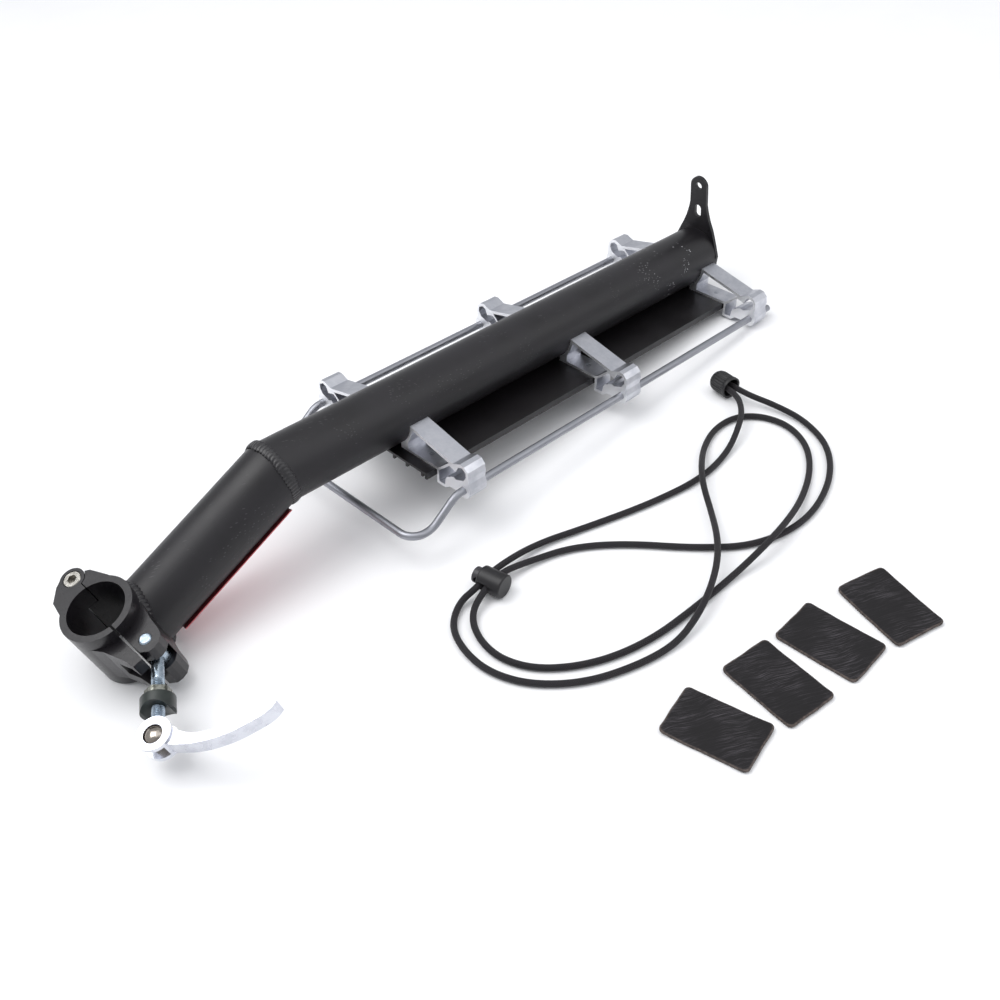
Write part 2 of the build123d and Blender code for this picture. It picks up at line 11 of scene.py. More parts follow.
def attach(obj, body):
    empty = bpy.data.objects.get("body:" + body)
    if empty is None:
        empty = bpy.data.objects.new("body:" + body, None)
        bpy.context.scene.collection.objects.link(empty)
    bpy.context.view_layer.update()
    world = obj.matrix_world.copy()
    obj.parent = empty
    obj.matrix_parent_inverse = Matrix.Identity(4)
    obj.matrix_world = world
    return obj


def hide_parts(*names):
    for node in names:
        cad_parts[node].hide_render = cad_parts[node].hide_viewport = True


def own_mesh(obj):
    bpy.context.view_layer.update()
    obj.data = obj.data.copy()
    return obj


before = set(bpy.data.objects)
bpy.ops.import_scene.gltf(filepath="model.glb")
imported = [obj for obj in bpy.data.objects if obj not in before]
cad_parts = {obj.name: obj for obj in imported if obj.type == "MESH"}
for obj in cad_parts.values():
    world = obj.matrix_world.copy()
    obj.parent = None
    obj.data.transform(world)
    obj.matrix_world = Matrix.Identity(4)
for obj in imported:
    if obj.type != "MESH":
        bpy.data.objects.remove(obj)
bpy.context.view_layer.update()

bl_info = {
    "name": "Seat-post rack",
    "version": (1, 0, 0),
    "blender": (4, 5, 0),
    "location": "3D View > Sidebar > Rack",
    "description": "Dresses the packed seat-post rack, its cord and its shims",
    "category": "Object",
}

MM = 0.001

# The part's own frames, in metres: the beam slopes down to the rear, the clamp leans on it.
BEAM_TILT = math.radians(5.10)
BEAM_ORIGIN = np.array([-31.6, 123.7, 56.98]) * MM
BEAM_X = np.array([math.cos(BEAM_TILT), 0.0, -math.sin(BEAM_TILT)])
BEAM_Y = np.array([0.0, 1.0, 0.0])
BEAM_Z = np.array([math.sin(BEAM_TILT), 0.0, math.cos(BEAM_TILT)])
TUBE_R = 20.0 * MM
BEND_X = -95.0 * MM
BEND = math.radians(27.25)
RING_R = 20.8 * MM
BORE_LEAN = math.radians(70.0)
BORE_AT = BEAM_ORIGIN + BEAM_X * -207.0 * MM + BEAM_Z * -48.0 * MM
BORE_WAY = BEAM_X * -math.cos(BORE_LEAN) + BEAM_Z * math.sin(BORE_LEAN)
CLAMP_A = -BEAM_Y   # from the bore towards the bolt's side
CLAMP_B = np.cross(BORE_WAY, CLAMP_A)
BOLT_TURN = math.radians(-35.8)
BOLT_WAY = CLAMP_A * math.cos(BOLT_TURN) + CLAMP_B * math.sin(BOLT_TURN)
TRUNNION = BORE_AT + CLAMP_A * 32.5 * MM + CLAMP_B * 6.0 * MM

# The bolt, along its own axis from the trunnion, and the cam's pivot across it.
BOLT_FROM, BOLT_TO, BOLT_R = -4.6 * MM, 56.8 * MM, 3.5 * MM
THREAD_FROM, THREAD_TO, THREAD_DEPTH, THREAD_RUNOUT = 17 * MM, 49 * MM, 0.52 * MM, 1.5 * MM
BOLT_TAPER = 2.5 * MM
PIVOT_AT, PIVOT_R, PIVOT_HALF, PIVOT_DOME = 52.4 * MM, 5.3 * MM, 7.8 * MM, 3.6 * MM

# The loose pieces on the floor, in mm: each shim's place and heading, the cord's lock, cap and route.
SHIM_L, SHIM_W, SHIM_T, SHIM_CORNER = 51.0, 34.0, 1.8, 3.0
SHIMS = [(-59.9, -145.8, -79), (-14.0, -151.6, -99), (29.0, -156.6, -89), (73.4, -166.4, -107)]
LOCK = (-66.6, 12.5)
LOCK_WAY = (-0.17, 0.985)
LOCK_R = 7.4
SPRING_FROM, SPRING_L = -9.85 * MM, 4.0 * MM
SPRING_R, SPRING_WIRE, SPRING_TURNS = 3.4 * MM, 0.35 * MM, 3.15
CAP_MOUTH = (174.0, 15.9)
CAP_WAY = (0.15, 0.989)
CAP_R = 7.8
CAP_RIDGE = 0.42 * MM
CORD_LENGTH = 1.47

ROUTE = [
    (172.9, 25.2, 7.8), (170.5, 9.4, 8.6), (158.2, -4.2, 9.2), (143.0, -12.9, 8.8), (122.5, -19.3, 2.2),
    (91.1, -22.2, 2.0), (51.4, -12.8, 2.0), (9.4, 2.7, 2.0), (-24.6, 15.9, 3.0), (-58.1, 16.4, 7.4),
    (-75.8, 13.3, 7.4), (-88.1, 15.7, 3.0), (-103.6, 6.2, 2.0), (-111.4, -12.3, 2.0), (-112.6, -33.3, 2.0),
    (-103.6, -55.8, 2.0), (-82.6, -76.8, 2.0), (-54.6, -89.8, 2.0), (-29.6, -95.8, 2.2), (-9.1, -94.3, 6.5),
    (9.9, -88.8, 9.6), (30.4, -78.8, 9.4), (47.4, -66.3, 9.6), (67.1, -47.1, 5.0), (78.1, -32.5, 9.8),
    (91.7, -20.4, 9.8), (115.4, -4.8, 2.5), (137.4, 2.3, 2.0), (156.9, -0.8, 2.0), (168.7, -13.8, 2.0),
    (171.7, -33.3, 2.0), (161.9, -53.8, 2.0), (142.1, -69.4, 2.0), (115.4, -80.8, 3.0), (85.4, -89.1, 9.8),
    (59.4, -91.3, 9.8), (34.4, -88.1, 2.0), (-0.6, -86.8, 2.0), (-35.6, -83.8, 2.0), (-66.6, -73.3, 2.0),
    (-91.1, -54.3, 2.0), (-101.6, -33.3, 2.0), (-100.1, -12.8, 2.0), (-90.6, 3.7, 3.2), (-75.0, 8.6, 7.4),
    (-57.3, 11.6, 7.4), (-36.7, 8.3, 3.0), (-10.6, -1.7, 2.0), (13.4, -23.8, 2.0), (38.4, -58.3, 2.0),
    (63.4, -83.3, 2.0), (100.4, -94.1, 2.0), (140.4, -85.3, 2.0), (169.9, -65.3, 2.0), (182.9, -38.3, 2.0),
    (181.4, -15.3, 4.5), (174.8, 6.7, 7.8), (177.7, 24.5, 7.8),
]

# The stage, in metres: softboxes as name, place, width, watts and the point that they face.
FLOOR_HALF, FLOOR_GAP = 6.0, 0.0004
SOFTBOXES = (("key_softbox", (-0.55, 0.55, 1.35), 1.1, 12.5, (0.0, 0.05, 0.0)),
             ("fill_softbox", (0.9, -1.0, 1.2), 1.4, 6.0, (0.0, 0.0, 0.0)),
             ("top_softbox", (0.1, 0.0, 1.9), 1.8, 9.0, (0.0, 0.0, 0.0)))
CAMERA_AT, CAMERA_LENS = (-0.3819, -0.3408, 0.4957), 41.96
CAMERA_LOOK, CAMERA_RIGHT = (0.5059, 0.5441, -0.6694), (0.6992, -0.7131, -0.0511)


# ---------------------------------------------------------------- small helpers
def linear(text):
    """Linear colour from an sRGB hex string."""
    values = [int(text[i:i + 2], 16) / 255 for i in (1, 3, 5)]
    return [v / 12.92 if v <= 0.04045 else ((v + 0.055) / 1.055) ** 2.4 for v in values] + [1.0]


def add(tree, kind, inputs=None, **settings):
    """Add a node, set its settings, and link or set each named or numbered input."""
    made = tree.nodes.new("ShaderNode" + kind)
    for key, value in settings.items():
        setattr(made, key, value)
    for key, value in (inputs or {}).items():
        socket = made.inputs[key]
        if isinstance(value, bpy.types.NodeSocket):
            tree.links.new(value, socket)
        else:
            socket.default_value = value
    return made


def math_node(tree, operation, a, b=0.0, clamp=False):
    """One arithmetic step."""
    return add(tree, "Math", {0: a, 1: b}, operation=operation, use_clamp=clamp).outputs[0]


def step(tree, value, low, high, to_low=0.0, to_high=1.0):
    """Smooth change of value between two limits."""
    inputs = {"Value": value, "From Min": low, "From Max": high, "To Min": to_low, "To Max": to_high}
    return add(tree, "MapRange", inputs, interpolation_type="SMOOTHSTEP").outputs[0]


def mix(tree, share, a, b):
    """Mix two colours."""
    return add(tree, "Mix", {0: share, 6: a, 7: b}, data_type="RGBA").outputs[2]


def place(tree, turn=(0, 0, 0), scale=(1, 1, 1)):
    """Object coordinates in millimetres, turned and stretched."""
    coords = add(tree, "TexCoord").outputs["Object"]
    turned = add(tree, "Mapping", {"Vector": coords, "Rotation": turn}, vector_type="POINT").outputs[0]
    size = tuple(1000.0 * s for s in scale)
    return add(tree, "Mapping", {"Vector": turned, "Scale": size}, vector_type="POINT").outputs[0]


def noise(tree, vector, scale, detail=3.0, roughness=0.5):
    """Noise with a feature size of 1 / scale mm."""
    inputs = {"Vector": vector, "Scale": scale, "Detail": detail, "Roughness": roughness}
    return add(tree, "TexNoise", inputs).outputs["Fac"]


def bump(tree, height, distance_mm, strength=1.0, normal=None):
    """Bump of a height in millimetres."""
    inputs = {"Height": height, "Distance": distance_mm * MM, "Strength": strength}
    if normal is not None:
        inputs["Normal"] = normal
    return add(tree, "Bump", inputs).outputs[0]


def finish_material(name, **inputs):
    """A material whose surface is one Principled node; returns it, its tree and that node."""
    material = bpy.data.materials.new(name)
    material.use_nodes = True
    tree = material.node_tree
    tree.nodes.clear()
    shader = add(tree, "BsdfPrincipled")
    add(tree, "OutputMaterial", {"Surface": shader.outputs[0]})
    wire(tree, shader, **inputs)
    return material, tree, shader


def wire(tree, shader, **inputs):
    """Link or set the Principled node's inputs; an underscore stands for a space in a name."""
    for key, value in inputs.items():
        socket = shader.inputs[key.replace("_", " ")]
        if isinstance(value, bpy.types.NodeSocket):
            tree.links.new(value, socket)
        else:
            socket.default_value = value


def unit(vector):
    """The vector, or each row of an array, at length one."""
    return vector / np.linalg.norm(vector, axis=-1, keepdims=True)


def around(count):
    """Even angles round a circle."""
    return np.linspace(0, 2 * np.pi, count, endpoint=False)


def once(name, make):
    """The named material, made the first time it is asked for."""
    return bpy.data.materials.get(name) or make(name)


# ---------------------------------------------------------------- materials
TILT_TURN = (0.0, -BEAM_TILT, 0.0)


def powder_coat(name, scuffs=0.0, rough=0.42):
    """Satin black powder coat on tube: a fine orange peel, cloudy sheen, and white handling nicks."""
    material, tree, shader = finish_material(name)
    mm = place(tree, TILT_TURN)
    peel = noise(tree, mm, 1.6, 2.0)
    cloud = noise(tree, mm, 0.035, 3.0)
    colour = mix(tree, step(tree, cloud, 0.35, 0.7), chosen("coat"), linear("#1b191d"))
    roughness = step(tree, cloud, 0.3, 0.7, rough - 0.04, rough + 0.06)
    if scuffs:
        # Short nicks: stretched cells that only a few places show.
        streak = place(tree, (0.35, -BEAM_TILT, 0.6), (0.16, 1.3, 1.3))
        cells = add(tree, "TexVoronoi", {"Vector": streak, "Scale": 0.55}, feature="F1").outputs["Distance"]
        few = step(tree, noise(tree, mm, 0.06, 2.0), 0.53, 0.6)
        nick = math_node(tree, "MULTIPLY", step(tree, cells, 0.26, 0.12), few)
        spot = add(tree, "SeparateXYZ", {0: mm}).outputs[0]
        rear = step(tree, spot, 175.0, 235.0)
        nick = math_node(tree, "MULTIPLY", nick, math_node(tree, "ADD", rear, 0.05), clamp=True)
        nick = math_node(tree, "MULTIPLY", nick, scuffs)
        colour = mix(tree, nick, colour, linear("#c9c8cc"))
        roughness = math_node(tree, "ADD", roughness, math_node(tree, "MULTIPLY", nick, 0.3))
    wire(tree, shader, Base_Color=colour, Roughness=roughness, Specular_IOR_Level=0.42,
         Normal=bump(tree, peel, 0.025))
    return material


def cast_paint(name):
    """Semi-gloss black paint over a cast aluminium clamp: soft casting grain under the paint."""
    material, tree, shader = finish_material(name)
    mm = place(tree)
    grain = noise(tree, mm, 0.9, 4.0, 0.6)
    wave = noise(tree, mm, 0.12, 2.0)
    height = math_node(tree, "ADD", math_node(tree, "MULTIPLY", grain, 0.25), wave)
    colour = mix(tree, grain, chosen("casting"), linear("#1c1a1e"))
    wire(tree, shader, Base_Color=colour, Roughness=step(tree, grain, 0.2, 0.8, 0.26, 0.36),
         Specular_IOR_Level=0.5, Normal=bump(tree, height, 0.12))
    return material


def weld_metal(name):
    """Weld bead under black paint: small ripples catch the light."""
    material, tree, shader = finish_material(name)
    mm = place(tree)
    wire(tree, shader, Base_Color=mix(tree, noise(tree, mm, 1.2), linear("#111013"), linear("#1e1c20")),
         Roughness=0.36, Specular_IOR_Level=0.55, Normal=bump(tree, noise(tree, mm, 0.8, 3.0), 0.12))
    return material


def extruded(name, rough=0.3):
    """Bright extruded aluminium: die lines along the length, saw marks, and a painted highlight that whitens
    the cut ends.
    """
    material, tree, shader = finish_material(name, Metallic=1.0)
    lines = noise(tree, place(tree, TILT_TURN, (0.02, 3.0, 3.0)), 1.0, 3.0)
    patch = noise(tree, place(tree, TILT_TURN), 0.12, 4.0, 0.6)
    colour = mix(tree, step(tree, patch, 0.3, 0.7), chosen("aluminium"), linear("#bdbfc6"))
    roughness = step(tree, patch, 0.3, 0.75, rough, rough + 0.14)
    # The cut ends face along the beam: rougher and marked across by the saw, and whitened by a painted
    # highlight.
    normal = add(tree, "NewGeometry").outputs["True Normal"]
    along = add(tree, "VectorMath", {0: normal, 1: tuple(BEAM_X)}, operation="DOT_PRODUCT").outputs["Value"]
    saw_cut_and_highlight = step(tree, math_node(tree, "ABSOLUTE", along), 0.85, 0.97)
    marks = noise(tree, place(tree, (0.5, -BEAM_TILT, 0.0), (1.0, 5.0, 0.12)), 0.9, 2.0)
    # Painted highlight: the faces along the beam are mixed towards near white.
    colour = mix(tree, saw_cut_and_highlight, colour, linear("#f2f3f6"))
    roughness = math_node(tree, "ADD", roughness, math_node(tree, "MULTIPLY", saw_cut_and_highlight, 0.16))
    height = add(tree, "Mix", {0: saw_cut_and_highlight, 2: lines, 3: marks}, data_type="FLOAT").outputs[0]
    wire(tree, shader, Base_Color=colour, Roughness=roughness, Normal=bump(tree, height, 0.05))
    return material


def rod_metal(name):
    """Satin aluminium rod: drawn lines along it and faint dull patches."""
    material, tree, shader = finish_material(name, Metallic=1.0)
    lines = noise(tree, place(tree, TILT_TURN, (0.03, 4.0, 4.0)), 1.0, 2.0)
    patch = noise(tree, place(tree), 0.06, 4.0, 0.6)
    wire(tree, shader, Base_Color=mix(tree, patch, linear("#a6a7ad"), linear("#8d8f96")),
         Roughness=step(tree, patch, 0.3, 0.7, 0.36, 0.48), Normal=bump(tree, lines, 0.02))
    return material


def deck_paint(name):
    """Black anodised deck extrusion: smooth with long faint die lines."""
    material, tree, shader = finish_material(name)
    lines = noise(tree, place(tree, TILT_TURN, (0.01, 1.4, 1.4)), 1.0, 3.0)
    cloud = noise(tree, place(tree), 0.05, 2.0)
    wire(tree, shader, Base_Color=mix(tree, lines, linear("#0e0c0e"), linear("#171517")),
         Roughness=step(tree, cloud, 0.3, 0.7, 0.3, 0.4), Specular_IOR_Level=0.4,
         Normal=bump(tree, lines, 0.04))
    return material


def plated(name, tone, second, rough=0.24, scale=0.5):
    """Plated or polished steel: slight cloudiness in colour and polish, with fine wipe marks."""
    material, tree, shader = finish_material(name, Metallic=1.0)
    mm = place(tree)
    cloud = noise(tree, mm, scale, 3.0)
    wipe = noise(tree, place(tree, (0.4, 0.2, 0.9), (0.3, 6.0, 6.0)), 1.0, 2.0)
    wire(tree, shader, Base_Color=mix(tree, step(tree, cloud, 0.35, 0.65), linear(tone), linear(second)),
         Roughness=step(tree, cloud, 0.3, 0.7, rough, rough + 0.12), Normal=bump(tree, wipe, 0.012))
    return material


def moulded(name, tone="#121113", second="#1c1b1e", rough=0.42):
    """Moulded plastic: fine spark texture and a soft sheen."""
    material, tree, shader = finish_material(name)
    mm = place(tree)
    grain = noise(tree, mm, 3.5, 3.0, 0.6)
    cloud = noise(tree, mm, 0.3, 2.0)
    wire(tree, shader, Base_Color=mix(tree, cloud, linear(tone), linear(second)),
         Roughness=step(tree, grain, 0.2, 0.8, rough - 0.06, rough + 0.08), Specular_IOR_Level=0.45,
         Normal=bump(tree, grain, 0.03))
    return material


def red_film(name):
    """Red adhesive film: slightly mottled, with a fibre of paper showing through."""
    material, tree, shader = finish_material(name)
    mm = place(tree)
    fibre = noise(tree, place(tree, (0, 0.3, 0), (0.3, 2.0, 2.0)), 0.9, 4.0, 0.65)
    colour = mix(tree, step(tree, fibre, 0.4, 0.75), chosen("film"), linear("#c46a6e"))
    wire(tree, shader, Base_Color=colour, Roughness=0.5, Normal=bump(tree, noise(tree, mm, 0.8), 0.04))
    return material


def shim_rubber(name):
    """Matte black rubber: crossing brushed scratches, dust in them, and edges worn brownish grey."""
    material, tree, shader = finish_material(name)
    edge = add(tree, "Attribute", attribute_name="edge").outputs["Fac"]
    swirl = noise(tree, place(tree), 0.05, 2.0)
    push = {0: math_node(tree, "MULTIPLY", swirl, 7.0), 1: math_node(tree, "MULTIPLY", swirl, -5.0)}
    away = add(tree, "CombineXYZ", push).outputs[0]
    turned = place(tree, (0, 0, 0.5))
    bent = add(tree, "VectorMath", {0: turned, 1: away}, operation="ADD").outputs[0]
    one = add(tree, "Mapping", {"Vector": bent, "Scale": (0.06, 2.6, 1.0)}, vector_type="POINT").outputs[0]
    two = add(tree, "Mapping", {"Vector": bent, "Rotation": (0, 0, 1.1), "Scale": (0.07, 2.2, 1.0)},
              vector_type="POINT").outputs[0]
    first = step(tree, noise(tree, one, 1.0, 4.0, 0.65), 0.5, 0.68)
    second = step(tree, noise(tree, two, 1.0, 4.0, 0.65), 0.55, 0.72)
    patch = step(tree, noise(tree, place(tree), 0.045, 3.0), 0.38, 0.6, 0.15, 1.0)
    scratch = math_node(tree, "MULTIPLY", math_node(tree, "MAXIMUM", first, second), patch)
    colour = mix(tree, math_node(tree, "MULTIPLY", scratch, 0.7), chosen("rubber"), linear("#575358"))
    worn = step(tree, noise(tree, place(tree), 0.5, 3.0), 0.3, 0.7, 0.25, 0.8)
    rim = math_node(tree, "MULTIPLY", edge, worn)
    colour = mix(tree, rim, colour, linear("#6a5f59"))
    grain = noise(tree, place(tree), 1.6, 3.0)
    height = math_node(tree, "SUBTRACT", math_node(tree, "MULTIPLY", grain, 0.3), scratch)
    wire(tree, shader, Base_Color=colour, Roughness=0.72, Specular_IOR_Level=0.3,
         Normal=bump(tree, height, 0.04))
    return material


def woven_sheath(name, length, diameter):
    """Braided polyester sheath: crossing yarns wound round the cord, dull with a faint sheen."""
    material, tree, shader = finish_material(name)
    uv = add(tree, "SeparateXYZ", {0: add(tree, "TexCoord").outputs["UV"]})
    along, around = uv.outputs[0], uv.outputs[1]
    turns = length / (diameter * 1.15)
    ahead = math_node(tree, "MULTIPLY", along, turns)
    yarns = math_node(tree, "MULTIPLY", around, 8.0)
    wound = math_node(tree, "MULTIPLY", ahead, 4.0)
    left = math_node(tree, "MULTIPLY", math_node(tree, "ADD", wound, yarns), math.pi)
    right = math_node(tree, "MULTIPLY", math_node(tree, "SUBTRACT", wound, yarns), math.pi)
    a = math_node(tree, "ABSOLUTE", math_node(tree, "SINE", left))
    b = math_node(tree, "ABSOLUTE", math_node(tree, "SINE", right))
    weave = math_node(tree, "MULTIPLY", a, b)
    fuzz = noise(tree, place(tree), 6.0, 2.0)
    colour = mix(tree, step(tree, weave, 0.05, 0.8), chosen("sheath"), linear("#29262b"))
    height = math_node(tree, "ADD", weave, math_node(tree, "MULTIPLY", fuzz, 0.25))
    wire(tree, shader, Base_Color=colour, Roughness=0.72, Specular_IOR_Level=0.35, Sheen_Weight=0.08,
         Sheen_Roughness=0.5, Normal=bump(tree, height, 0.16))
    return material


# ---------------------------------------------------------------- surfaces
def grid_mesh(name, points, material, close_v=False, body="rack", cap=False):
    """A mesh from an (n, m, 3) array of points: quads between neighbours, the rows closed in a ring and with
    close_v the columns too, its two end rings filled when cap is set, and its faces looking outwards."""
    n, m = points.shape[:2]
    rows = np.arange(n)[:, None]
    columns = np.arange(m if close_v else m - 1)[None, :]
    a = rows * m + columns
    b = ((rows + 1) % n) * m + columns
    c = ((rows + 1) % n) * m + (columns + 1) % m
    d = rows * m + (columns + 1) % m
    quads = np.stack([a, b, c, d], axis=-1).reshape(-1, 4)
    faces = quads.tolist()
    if cap:
        faces += [list(range(0, n * m, m))[::-1], list(range(m - 1, n * m, m))]
    # The signed volume about the middle says which way the faces look.
    corner = (points - points.mean(axis=(0, 1))).reshape(-1, 3)[quads]
    fans = np.cross(corner[:, 1], corner[:, 2]) + np.cross(corner[:, 2], corner[:, 3])
    if (corner[:, 0] * fans).sum() < 0:
        faces = [face[::-1] for face in faces]
    mesh = bpy.data.meshes.new(name)
    mesh.from_pydata(points.reshape(-1, 3).tolist(), [], faces)
    mesh.validate()
    piece = bpy.data.objects.new(name, mesh)
    smooth(piece)
    mesh.update()
    bpy.context.scene.collection.objects.link(piece)
    mesh.materials.append(material)
    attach(piece, body)
    return piece


def smooth(piece):
    """Shade a round CAD piece smoothly."""
    faces = piece.data.polygons
    faces.foreach_set("use_smooth", np.ones(len(faces), dtype=bool))


def dress(names, material, bevel=0.0, segments=2):
    """Give CAD nodes their material, and softened edges where a bevel width in mm is given."""
    for name in names:
        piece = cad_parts[name]
        piece.data.materials.clear()
        piece.data.materials.append(material)
        if bevel:
            soften = piece.modifiers.new("soft_edges", "BEVEL")
            soften.width = bevel * MM
            soften.segments = segments
            soften.limit_method = "ANGLE"
            soften.angle_limit = math.radians(32)
            soften.harden_normals = False
            soften.use_clamp_overlap = True


def bead(path, outward, along, width, height, pitch, seed):
    """A weld bead: an oval section carried round a closed path, its height rising and falling once a pitch,
    with the crests bowed along the path as a pool of metal freezes."""
    n = len(path)
    step_lengths = np.linalg.norm(np.roll(path, -1, axis=0) - path, axis=1)
    run = np.concatenate([[0.0], np.cumsum(step_lengths)[:-1]])
    total = step_lengths.sum()
    count = round(total / pitch)
    theta = np.linspace(0, 2 * np.pi, 28, endpoint=False)[None, :]
    phase = run[:, None] / total * count - 0.42 * np.cos(theta) ** 2
    crest = (0.5 + 0.5 * np.cos(2 * np.pi * phase)) ** 0.7
    share = 2 * np.pi * run / total
    drift = 0.08 * np.sin(share * 5 + seed) + 0.06 * np.sin(share * 13 + 2 * seed)
    scale = 0.84 + 0.2 * crest + drift[:, None]
    across = along[:, None, :] * (width * scale * np.cos(theta))[:, :, None]
    up = outward[:, None, :] * (height * scale * np.sin(theta))[:, :, None]
    return path[:, None, :] + across + up


def length_setting(default, name, description):
    """A length property, its default in metres."""
    return FloatProperty(name=name, description=description, default=default, subtype="DISTANCE",
                         unit="LENGTH")


class RackSizes(bpy.types.PropertyGroup):
    """Sizes that a user may change."""

    bead_width: length_setting(3.4 * MM, "Bead width", "Half the width of the weld beads")
    bead_height: length_setting(1.1 * MM, "Bead height", "How far the weld beads stand out")
    bead_pitch: length_setting(2.3 * MM, "Bead pitch", "Length of one weld ripple")
    thread_pitch: length_setting(1.0 * MM, "Thread pitch", "Pitch of the bolt's thread")
    cord_width: length_setting(4.0 * MM, "Cord width", "Diameter of the elastic cord")
    shim_bow: length_setting(0.7 * MM, "Shim bow", "How far the shims' ends lift")
    cap_ridges: IntProperty(name="Cap ridges", description="Ridges round the end cap", default=22, min=0,
                            max=60)


def colour_setting(text, name, description):
    """A colour property, its default an sRGB hex."""
    return FloatVectorProperty(name=name, description=description, subtype="COLOR", size=4, min=0.0, max=1.0,
                               default=linear(text))


def sizes():
    """The scene's size settings."""
    return bpy.context.scene.rack_sizes


def chosen(key):
    """One of the scene's colour settings."""
    return list(getattr(bpy.context.scene.rack_colours, key))


class RackColours(bpy.types.PropertyGroup):
    """Colours that a user may change."""

    coat: colour_setting("#141215", "Tube coat", "Satin black coat of the tubes and the rear plate")
    casting: colour_setting("#121013", "Clamp paint", "Black paint of the cast clamp")
    aluminium: colour_setting("#cfd0d6", "Brackets", "Extruded aluminium of the brackets")
    rubber: colour_setting("#161416", "Shims", "Rubber of the loose shims")
    sheath: colour_setting("#0f0d10", "Cord", "Yarn of the elastic cord's sheath")
    film: colour_setting("#a2323d", "Red strip", "Film on the front tube")
    floor: colour_setting("#f4f4f5", "Floor", "Paper of the studio floor")


# ---------------------------------------------------------------- operators
class RACK_OT_tubes(bpy.types.Operator):
    """Bent tube beam with its two weld beads"""

    bl_idname = "rack.tubes"
    bl_label = "Tubes and welds"

    def execute(self, context):
        coat = once("satin_black_powder_coat", lambda n: powder_coat(n, scuffs=1.0))
        dress(["main_tube", "front_tube"], coat)
        smooth(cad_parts["main_tube"])
        smooth(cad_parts["front_tube"])
        metal = once("painted_weld_metal", weld_metal)
        turn = around(900)
        y, z = TUBE_R * np.cos(turn), TUBE_R * np.sin(turn)
        x = BEND_X - z * math.tan(BEND / 2)
        path = BEAM_ORIGIN + x[:, None] * BEAM_X + y[:, None] * BEAM_Y + z[:, None] * BEAM_Z
        outward = np.cos(turn)[:, None] * BEAM_Y + np.sin(turn)[:, None] * BEAM_Z
        mitre = BEAM_X * math.cos(BEND / 2) + BEAM_Z * math.sin(BEND / 2)
        along = np.tile(mitre, (len(turn), 1))
        s = sizes()
        seam = bead(path, outward, along, s.bead_width, s.bead_height, s.bead_pitch, 1.0)
        first = grid_mesh("bend_weld_bead", seam, close_v=True, material=metal)
        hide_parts("bend_weld")

        # The second seam: lines of the front tube's skin, along it, meet the clamp's ring.
        front = -BEAM_X * math.cos(BEND) - BEAM_Z * math.sin(BEND)
        upright = np.cross(front, -BEAM_Y)
        bend = BEAM_ORIGIN + BEAM_X * BEND_X
        rim = bend + TUBE_R * (np.cos(turn)[:, None] * BEAM_Y + np.sin(turn)[:, None] * upright)
        apart = rim - BORE_AT
        flat = apart - (apart @ BORE_WAY)[:, None] * BORE_WAY
        front_flat = front - (front @ BORE_WAY) * BORE_WAY
        qa = front_flat @ front_flat
        qb = 2 * flat @ front_flat
        qc = (flat * flat).sum(1) - RING_R ** 2
        reach = (-qb - np.sqrt(np.maximum(qb * qb - 4 * qa * qc, 0.0))) / (2 * qa)
        path = rim + reach[:, None] * front
        outward = np.cos(turn)[:, None] * BEAM_Y + np.sin(turn)[:, None] * upright
        ring_out = path - BORE_AT
        ring_out = unit(ring_out - (ring_out @ BORE_WAY)[:, None] * BORE_WAY)
        lift, side = unit(outward + ring_out), unit(outward - ring_out)
        seam = bead(path, lift, side, s.bead_width * 1.2, s.bead_height * 2.6, s.bead_pitch, 2.3)
        second = grid_mesh("clamp_weld_bead", seam, close_v=True, material=metal)
        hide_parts("clamp_weld")
        return {"FINISHED"}


class RACK_OT_clamp(bpy.types.Operator):
    """Cast seat-post clamp: body, hinged band and hinge pin"""

    bl_idname = "rack.clamp"
    bl_label = "Clamp"

    def execute(self, context):
        dress(["clamp_body", "clamp_band"], once("black_painted_casting", cast_paint), bevel=0.7, segments=3)
        zinc = once("blue_zinc_plated_steel", lambda n: plated(n, "#aab7c3", "#97a5b2", 0.22))
        stainless = once("stainless_pin_head", lambda n: plated(n, "#b9b6b0", "#8f8c86", 0.2))
        dress(["hinge_pin"], stainless, bevel=0.25)
        dress(["trunnion_pin"], zinc, bevel=0.2)
        return {"FINISHED"}


